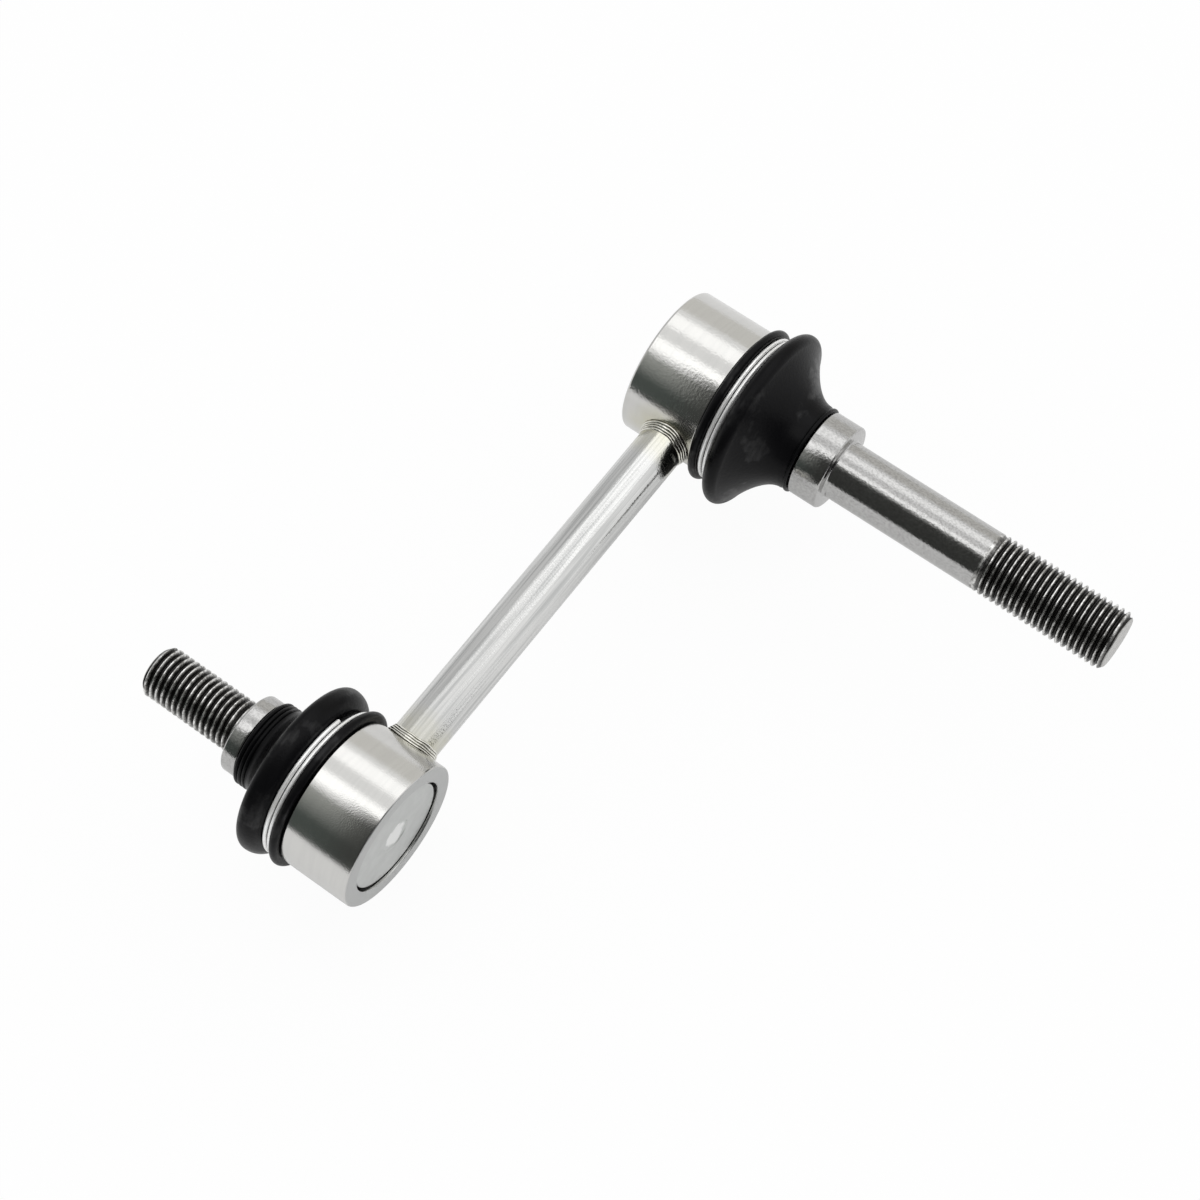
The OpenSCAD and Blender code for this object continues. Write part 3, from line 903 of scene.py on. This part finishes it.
def make_card(name, rows, light, dark=None, heights=(0.0, 1.0), fade=None):
    """Card of the studio that only bright surfaces mirror.

    Each row is a list of places from the middle. The tone goes from dark to light between two heights,
    and the card fades out between two places along Y, from the middle, if they are given.
    """
    bm = bmesh.new()
    rings = [[bm.verts.new(MIDDLE + Vector(place)) for place in row] for row in rows]
    for low, high in zip(rings, rings[1:]):
        for j in range(len(low) - 1):
            bm.faces.new([low[j], low[j + 1], high[j + 1], high[j]])
    card = finish_mesh(name, bm)
    material, tree = new_material(f"{name}_tone")
    coords = add(tree, "ShaderNodeTexCoord").outputs["Object"]
    place = add(tree, "ShaderNodeSeparateXYZ", Vector=coords).outputs
    tone = mixed(tree, spread(tree, place["Z"], *heights, 0.0, 1.0), dark or light, light)
    shader = add(tree, "ShaderNodeEmission", Color=tone, Strength=1.0).outputs["Emission"]
    if fade:
        gone = spread(tree, place["Y"], *(MIDDLE.y + y for y in fade), 0.0, 1.0)
        clear = add(tree, "ShaderNodeBsdfTransparent").outputs["BSDF"]
        shader = add(tree, "ShaderNodeMixShader", i0=gone, i1=shader, i2=clear).outputs["Shader"]
    surface(tree, shader)
    card.data.materials.append(material)
    card.visible_camera = False
    card.visible_diffuse = False
    card.visible_shadow = False


def upright(low, high, z_low, z_high):
    """Rows of an upright card between two places in plan."""
    return [[(*low, z), (*high, z)] for z in (z_low, z_high)]


def level(low, high, z):
    """Rows of a level card between two corners."""
    return [[(x, low[1], z), (x, high[1], z)] for x in (low[0], high[0])]


def curved(radius, leans, y_low, y_high):
    """Rows of a card bent about the link's middle, between two leans from upright in degrees."""
    steps = 12
    low, high = leans
    turns = [math.radians(low + (high - low) * k / steps) for k in range(steps + 1)]
    return [[(radius * math.sin(t), y, radius * math.cos(t)) for y in (y_low, y_high)] for t in turns]


def make_cards():
    """What bright surfaces mirror: the dark round the camera and the studio's grey walls."""
    low = FLOOR_Z - MIDDLE.z
    make_card("dark_side", curved(CARD_R, (-92, -28), -0.8, 0.9),
              light=(0.38, 0.39, 0.37), dark=(0.080, 0.092, 0.085), heights=(0.36, 0.75))
    make_card("dark_stud_side", curved(STUD_CARD_R, (-92, -14), -0.8, STUD_CARD_FADE[1]),
              light=(0.38, 0.38, 0.37), dark=(0.055, 0.056, 0.053), heights=(0.79, 0.85),
              fade=STUD_CARD_FADE)
    make_card("dark_ground", level((-1.2, -0.8), (-0.47, 0.9), low + GROUND_CARD_LIFT),
              light=(0.12, 0.125, 0.12))
    make_card("dark_front", upright((-0.9, -0.6), (0.12, -0.6), low, 0.62),
              light=(0.25, 0.25, 0.26), dark=(0.03, 0.03, 0.032), heights=(0.3, 0.62))
    make_card("side_wall", upright((0.9, -0.6), (0.9, 1.0), low, 0.6), light=(0.76, 0.75, 0.72))
    make_card("end_wall", upright((-1.3, 1.05), (1.3, 1.05), low, 1.35), light=(0.68, 0.68, 0.68))


def make_softbox(name, lean, width, radiance):
    """Long area lamp over the link, leaning towards +X by lean degrees, of a width in degrees."""
    lamp = bpy.data.lights.new(name, "AREA")
    lamp.shape = "RECTANGLE"
    lamp.size = 2 * LAMP_DISTANCE * math.tan(math.radians(width / 2))
    lamp.size_y = LAMP_LENGTH
    lamp.energy = math.pi * lamp.size * LAMP_LENGTH * radiance
    holder = bpy.data.objects.new(name, lamp)
    turn = math.radians(lean)
    holder.location = MIDDLE + Vector((math.sin(turn), -0.05, math.cos(turn))) * LAMP_DISTANCE
    holder.rotation_euler = (0, turn, 0)
    bpy.context.scene.collection.objects.link(holder)


def make_world():
    """White studio, which lights the link at a plain level from all round."""
    world = bpy.data.worlds.new("studio")
    world.use_nodes = True
    tree = world.node_tree
    tree.nodes.clear()
    white = add(tree, "ShaderNodeBackground", Color=(1, 1, 1, 1), Strength=1.0).outputs["Background"]
    add(tree, "ShaderNodeOutputWorld", Surface=white)
    bpy.context.scene.world = world


def make_camera():
    """The photograph's camera: above the link, looking down along the rod from its short end."""
    az, el = math.radians(VIEW_AZIMUTH), math.radians(VIEW_ELEVATION)
    back = Vector((math.sin(az) * math.cos(el), -math.cos(az) * math.cos(el), math.sin(el)))
    right = Vector((math.cos(az), math.sin(az), 0))
    up = back.cross(right)
    data = bpy.data.cameras.new("camera")
    data.lens = VIEW_LENS
    data.sensor_fit = "HORIZONTAL"
    data.sensor_width = SENSOR
    camera = bpy.data.objects.new("camera", data)
    turn = Matrix((right, up, back)).transposed().to_4x4()
    place = MIDDLE + (back * VIEW_DISTANCE + right * VIEW_RIGHT + up * VIEW_UP) * MM
    camera.matrix_world = Matrix.Translation(place) @ turn
    bpy.context.scene.collection.objects.link(camera)
    bpy.context.scene.camera = camera


make_floor()
make_cards()
make_softbox("key_strip", lean=-10, width=20, radiance=0.62)
make_softbox("second_strip", lean=34, width=24, radiance=0.5)
make_world()
make_camera()
bpy.context.scene.view_settings.view_transform = "Standard"
